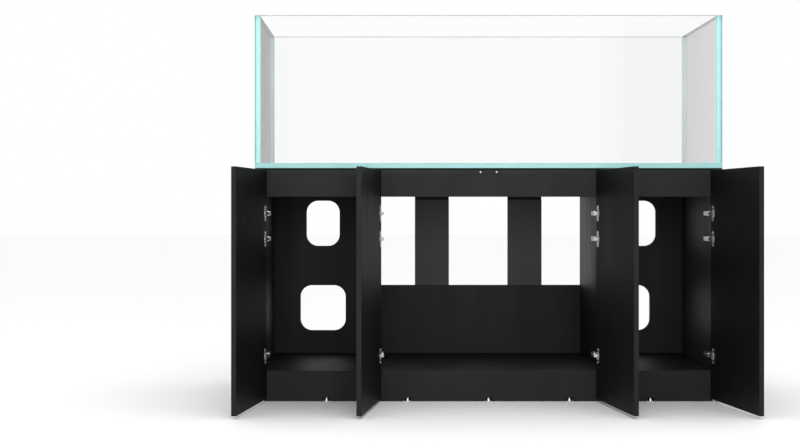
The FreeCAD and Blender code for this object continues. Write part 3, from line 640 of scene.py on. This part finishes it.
def cup_mesh():
    """A pressed hinge cup with a rolled rim and two rounded wings, in the flat frame."""
    radius, inner, rim = CUP_RADIUS, CUP_RADIUS - CUP_WALL, CUP_RADIUS + 1.5
    bottom = DOOR_FACE_OUT + CUP_DEPTH
    floor_out = bottom - CUP_WALL
    bowl = turned_mesh([(0, bottom), (radius - 1.5, bottom), (radius - 0.4, bottom - 0.4),
                        (radius, bottom - 1.5), (radius, DOOR_FACE_OUT), (rim, DOOR_FACE_OUT),
                        (rim, FLANGE_OUT + 0.4), (rim - 0.3, FLANGE_OUT + 0.1), (rim - 0.8, FLANGE_OUT),
                        (inner + 0.7, FLANGE_OUT), (inner + 0.2, FLANGE_OUT + 0.2),
                        (inner, FLANGE_OUT + 0.8), (inner, floor_out - 1.5),
                        (inner - 0.5, floor_out - 0.4), (inner - 1.6, floor_out), (0, floor_out)], 64)
    moved(bowl, at(CUP_CENTRE_IN, 0, 0) @ Matrix.Rotation(math.radians(90), 4, "X"))
    parts = [bowl]
    wing_start, corner, steps = 14.0, 5.0, 6
    for side in (-1, 1):
        outline = [(-FLANGE_HALF_WIDTH, wing_start), (FLANGE_HALF_WIDTH, wing_start)]
        for sign in (1, -1):
            for step in range(steps + 1):
                turn = math.pi / 2 * (step / steps if sign > 0 else 1 - step / steps)
                outline.append((sign * (FLANGE_HALF_WIDTH - corner + corner * math.cos(turn)),
                                FLANGE_HALF_LENGTH - corner + corner * math.sin(turn)))
        outline = [(CUP_CENTRE_IN + x, side * z) for x, z in outline]
        parts.append(plate_mesh(outline, -DOOR_FACE_OUT, -FLANGE_OUT - 0.1, 0.35))
    return joined(parts)


def pin_mesh(half_length, radius=1.5):
    """A riveted pin with domed ends, standing on its middle."""
    return turned_mesh([(0, -half_length), (radius * 0.6, -half_length), (radius, -half_length + 0.5),
                        (radius, half_length - 0.5), (radius * 0.6, half_length), (0, half_length)], 20)


def make_leaf_hardware(door):
    """The cups, their pins and their screws on one door."""
    layout = LAYOUTS[DOORS[door][0]]
    place = leaf_place(door)
    inner = CUP_RADIUS - CUP_WALL / 2
    half_pin = math.sqrt(inner ** 2 - (CUP_CENTRE_IN - layout["cup_in"]) ** 2)
    cups, screws = [], []
    for height in HINGE_HEIGHTS:
        cups.append(moved(cup_mesh(), place @ at(0, 0, height)))
        cups.append(moved(pin_mesh(half_pin), place @ at(layout["cup_in"], -layout["cup_out"], height)))
        for side in (-1, 1):
            seat = at(CUP_CENTRE_IN, -FLANGE_OUT, height + side * CUP_SCREW_REACH)
            out = Matrix.Rotation(math.radians(-90), 4, "X")
            screws.append(moved(screw_mesh(CUP_SCREW_LENGTH), place @ seat @ out))
    body = f"{door}_leaf"
    add_piece(f"{door}_cups", joined(cups), [NICKEL], body, (f"{door}_hinge_cups",), 40.0)
    add_piece(f"{door}_flange_screws", joined(screws), [SCREW_ZINC], body,
              (f"{door}_cup_screws",), 40.0)


def make_links(door):
    """The cranked links, with their pressed edges eased."""
    name = f"{door}_hinge_links"
    work = soften(cad_copy(name), 0.3 * MM, 2, 50.0)
    add_piece(f"{door}_cranks", work, [NICKEL], f"{door}_links", (name,), 40.0)


def make_fixed_hinge_parts():
    """Arms and plates with eased edges, their screws, and the arms' adjusting screws."""
    for node, piece, ease in (("hinge_arms", "arm_channels", 0.5), ("hinge_plates", "arm_plates", 0.4)):
        work = soften(cad_copy(node), ease * MM, 2, 50.0)
        add_piece(piece, work, [NICKEL], BODY, (node,), 40.0)
    plate_screws, arm_screws = [], []
    to_bay = Matrix.Rotation(math.radians(90), 4, "Y")
    for door, (kind, _) in DOORS.items():
        layout, place = LAYOUTS[kind], fixed_place(door)
        for height in HINGE_HEIGHTS:
            for side in (-1, 1):
                seat = at(layout["panel"] + PLATE_BASE, PLATE_MIDDLE, height + side * PLATE_SCREW_REACH)
                plate_screws.append(moved(screw_mesh(PLATE_SCREW_LENGTH), place @ seat @ to_bay))
            for along in ARM_SCREWS_ALONG:
                seat = at(layout["arm_in"] + ARM_FAR - 0.3, along, height)
                arm_screws.append(moved(screw_mesh(ARM_SCREW_LENGTH), place @ seat @ to_bay))
    add_piece("plate_fixings", joined(plate_screws), [SCREW_ZINC], BODY,
              ("plate_screws",), 40.0)
    add_piece("arm_adjusters", joined(arm_screws), [SCREW_ZINC], BODY, (), 40.0)


# ------------------------------------------------------------------ latches and feet

def make_latches():
    """Push latches: a collar in the board's edge and a round-nosed plunger in each."""
    collar_radius, collar_depth, bore_depth = 5.0, 50.0, 48.0
    collars = []
    along = Matrix.Rotation(math.radians(90), 4, "X")
    for door in DOORS:
        low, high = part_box(f"{door}_latch_plunger")
        x, z = (low[0] + high[0]) / 2, (low[2] + high[2]) / 2
        radius = (high[0] - low[0]) / 2 / MM
        length = (high[1] - low[1]) / MM
        nose = turned_mesh([(0, -length), (radius - 0.4, -length), (radius, -length + 0.4), (radius, -1.2),
                            (radius * 0.92, -0.55), (radius * 0.7, -0.15), (radius * 0.4, 0), (0, 0)], 32)
        moved(nose, Matrix.Translation((x, low[1], z)) @ along)
        add_piece(f"{door}_latch_tip", nose, [PALE_PLASTIC], f"{door}_latch",
                  (f"{door}_latch_plunger",), 40.0)
        bore, outer = radius + 0.05, collar_radius
        collar = turned_mesh([(0, -collar_depth), (outer - 0.5, -collar_depth),
                              (outer, -collar_depth + 0.5), (outer, -0.35), (outer - 0.35, 0),
                              (bore + 0.3, 0), (bore, -0.3), (bore, -bore_depth), (0, -bore_depth)], 40)
        collars.append(moved(collar, Matrix.Translation((x, FRONT_Y, z)) @ along))
    add_piece("latch_collars", joined(collars), [DARK_PLASTIC], BODY, ("latch_sleeves",),
              40.0)


def foot_profile():
    """A bell-shaped foot with a hexagon for a spanner and a threaded stem, in millimetres."""
    profile = [(0, 0), (7.6, 0), (8.2, 0.2), (8.5, 0.7), (8.5, 1.9), (8.2, 2.4), (7.7, 2.7), (7.1, 3.4),
               (6.6, 4.6), (6.2, 6.2), (5.9, 8.0), (5.75, 9.4), (5.5, 9.8), (5.0, 10.0),
               (5.0, 10.0, 6), (5.2, 10.3, 6), (5.2, 13.3, 6), (5.0, 13.6, 6), (4.4, 13.8), (3.5, 14.0)]
    pitch, top, root, crest = 1.25, 56.0, 3.4, 4.0
    for turn in range(int((top - 15.2) / pitch)):
        low = 14.3 + turn * pitch
        profile += [(root, low), (crest, low + 0.5 * pitch), (crest, low + 0.6 * pitch)]
    return profile + [(root, top - 0.6), (2.9, top), (0, top)]


def make_feet():
    """The levelling feet."""
    for name in FEET:
        low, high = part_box(name)
        work = moved(turned_mesh(foot_profile(), 36),
                     Matrix.Translation(((low[0] + high[0]) / 2, (low[1] + high[1]) / 2, low[2])))
        body = name.replace("levelling_foot", "foot")
        add_piece(f"{name}_bell", work, [FOOT_NICKEL], body, (name,), 40.0)


def make_cad_finishes():
    """Finishes for the CAD nodes that stay, hidden inside the boards."""
    for name, material in (("foot_inserts", BRASS), ("carcass_dowels", BEECH)):
        slots = bpy.data.objects[name].material_slots
        if slots:
            slots[0].material = material
        else:
            bpy.data.objects[name].data.materials.append(material)


# ------------------------------------------------------------------ studio

def make_studio():
    """Pale floor, white surroundings and soft lights."""
    work = bmesh.new()
    bmesh.ops.create_grid(work, x_segments=1, y_segments=1, size=40.0)
    mesh = bpy.data.meshes.new("floor")
    work.to_mesh(mesh)
    work.free()
    mesh.materials.append(floor_material())
    floor = bpy.data.objects.new("floor", mesh)
    bpy.context.collection.objects.link(floor)
    world = bpy.data.worlds.new("studio")
    world.use_nodes = True
    background = world.node_tree.nodes["Background"]
    background.inputs["Color"].default_value = (1.0, 1.0, 1.0, 1.0)
    background.inputs["Strength"].default_value = 1.0
    bpy.context.scene.world = world
    # name, place, aim, side length in metres, power in watts
    lights = (("key", (0.6, -2.6, 3.6), (0.0, 0.2, 0.8), 3.2, 24.0),
              ("top", (0.0, 0.3, 4.2), (0.0, 0.3, 0.0), 4.0, 8.0),
              ("front", (-0.3, -7.0, 1.3), (-0.3, 0.0, 0.8), 4.0, 250.0))
    for name, place, aim, size, power in lights:
        data = bpy.data.lights.new(name, "AREA")
        data.shape, data.size, data.energy = "SQUARE", size, power
        light = bpy.data.objects.new(name, data)
        light.location = place
        light.rotation_euler = (Vector(aim) - Vector(place)).to_track_quat("-Z", "Y").to_euler()
        bpy.context.collection.objects.link(light)
    view = bpy.context.scene.view_settings
    view.view_transform, view.look = "Standard", "None"


def make_camera():
    """A level camera a little left of the middle, square on to the doors."""
    data = bpy.data.cameras.new("camera")
    data.lens, data.sensor_width = 60.1, 36.0
    data.shift_x, data.shift_y = 0.00775, -0.0116
    data.clip_end = 100.0
    camera = bpy.data.objects.new("camera", data)
    camera.location = (-0.365, FRONT_Y - 5.14, 0.7285)
    camera.rotation_euler = (math.radians(90), 0, 0)
    bpy.context.collection.objects.link(camera)
    bpy.context.scene.camera = camera


make_camera()
make_panes()
make_beads()
make_mat()
make_boards()
for door in DOORS:
    make_door(door)
    make_leaf_hardware(door)
    make_links(door)
make_fixed_hinge_parts()
make_latches()
make_feet()
make_cad_finishes()
make_studio()
